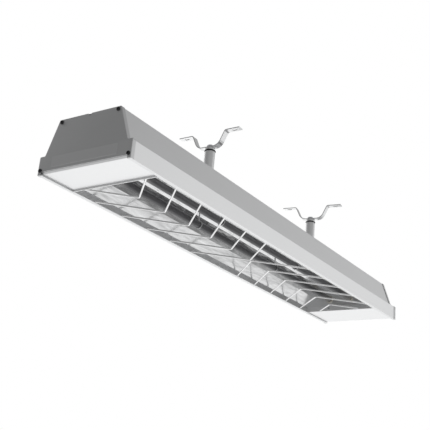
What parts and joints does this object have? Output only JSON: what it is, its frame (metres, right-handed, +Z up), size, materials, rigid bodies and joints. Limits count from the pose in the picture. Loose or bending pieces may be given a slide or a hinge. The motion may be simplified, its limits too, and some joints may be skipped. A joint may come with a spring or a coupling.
{
  "type": "infrared heater",
  "caption": "Slim strip infrared heater with a trapezoid housing, mirror trough, sheathed elements, herringbone guard and sliding ceiling hangers with hat-shaped straps.",
  "frame": {"origin": "on the ceiling plane that the strap tabs bear on, above the middle of the housing, as the heater hangs from its straps", "axes": "+X along the heater towards the end with the cable gland, +Y across it, +Z up to the ceiling"},
  "size_m": [1.1528, 0.207, 0.222],
  "materials": {
    "housing_satin": "satin anodised extrusion",
    "cap_satin": "satin pressed sheet",
    "gasket": "matt silicone",
    "label": "bare matt plate",
    "zinc_steel": "bright zinc",
    "black_steel": "black oxide",
    "fascia_satin": "satin anodised sheet",
    "stainless": "fine brushed stainless",
    "bright_wire": "polished wire",
    "mirror_sheet": "polished aluminium sheet",
    "inner_sheet": "mill finish",
    "element_sheath": "dark oxidised alloy sheath",
    "ceramic": null,
    "brass": "plain",
    "lead_sleeve": "woven glass sleeve",
    "earth_sleeve": "green and yellow cover",
    "black_plastic": "moulded nylon",
    "post_satin": "satin tube",
    "black_rubber": "matt",
    "strap_satin": "satin stainless strap"
  },
  "bodies": {
    "heater": {"housing": "housing_satin", "near_end_cap": "cap_satin", "far_end_cap": "cap_satin", "near_cap_gasket": "gasket", "far_cap_gasket": "gasket", "label_plate": "label", "cap_screws": "black_steel", "near_fascia": "fascia_satin", "far_fascia": "fascia_satin", "left_guard_rail": "stainless", "right_guard_rail": "stainless", "near_guard_bar": "stainless", "far_guard_bar": "stainless", "near_guard_wires": "bright_wire", "far_guard_wires": "bright_wire", "guard_screws": "zinc_steel", "reflector": "mirror_sheet", "near_bulkhead": "inner_sheet", "far_bulkhead": "inner_sheet", "reflector_rivets": "zinc_steel", "left_element": "element_sheath", "right_element": "element_sheath", "element_bushes": "ceramic", "element_hangers": "stainless", "element_studs": "zinc_steel", "stud_nuts": "zinc_steel", "lead_lugs": "brass", "live_lead": "lead_sleeve", "neutral_lead": "lead_sleeve", "link_lead": "lead_sleeve", "earth_lead": "earth_sleeve", "terminal_bracket": "inner_sheet", "terminal_block": "ceramic", "terminal_screws": "brass", "earth_screw": "brass", "gland_body": "black_plastic", "gland_seal": "gasket", "gland_cap": "black_plastic", "gland_nut": "black_plastic"},
    "near_hanger": {"near_slot_nut": "zinc_steel", "near_bolt": "zinc_steel", "near_post": "post_satin", "near_rubber_washer": "black_rubber", "near_collar": "stainless", "near_lock_nut": "zinc_steel"},
    "near_ceiling_strap": {"near_strap": "strap_satin"},
    "far_hanger": {"far_slot_nut": "zinc_steel", "far_bolt": "zinc_steel", "far_post": "post_satin", "far_rubber_washer": "black_rubber", "far_collar": "stainless", "far_lock_nut": "zinc_steel"},
    "far_ceiling_strap": {"far_strap": "strap_satin"}
  },
  "joints": [
    {"name": "near_hanger_slide", "type": "slide", "parent": "heater", "child": "near_hanger", "axis": [1, 0, 0], "range_m": [-0.33, 0.13]},
    {"name": "near_strap_swivel", "type": "hinge", "parent": "near_hanger", "child": "near_ceiling_strap", "pos_m": [-0.206, 0, -0.036], "axis": [0, 0, 1], "continuous": true},
    {"name": "far_hanger_slide", "type": "slide", "parent": "heater", "child": "far_hanger", "axis": [1, 0, 0], "range_m": [-0.15, 0.28]},
    {"name": "far_strap_swivel", "type": "hinge", "parent": "far_hanger", "child": "far_ceiling_strap", "pos_m": [0.253, 0, -0.036], "axis": [0, 0, 1], "continuous": true}
  ]
}
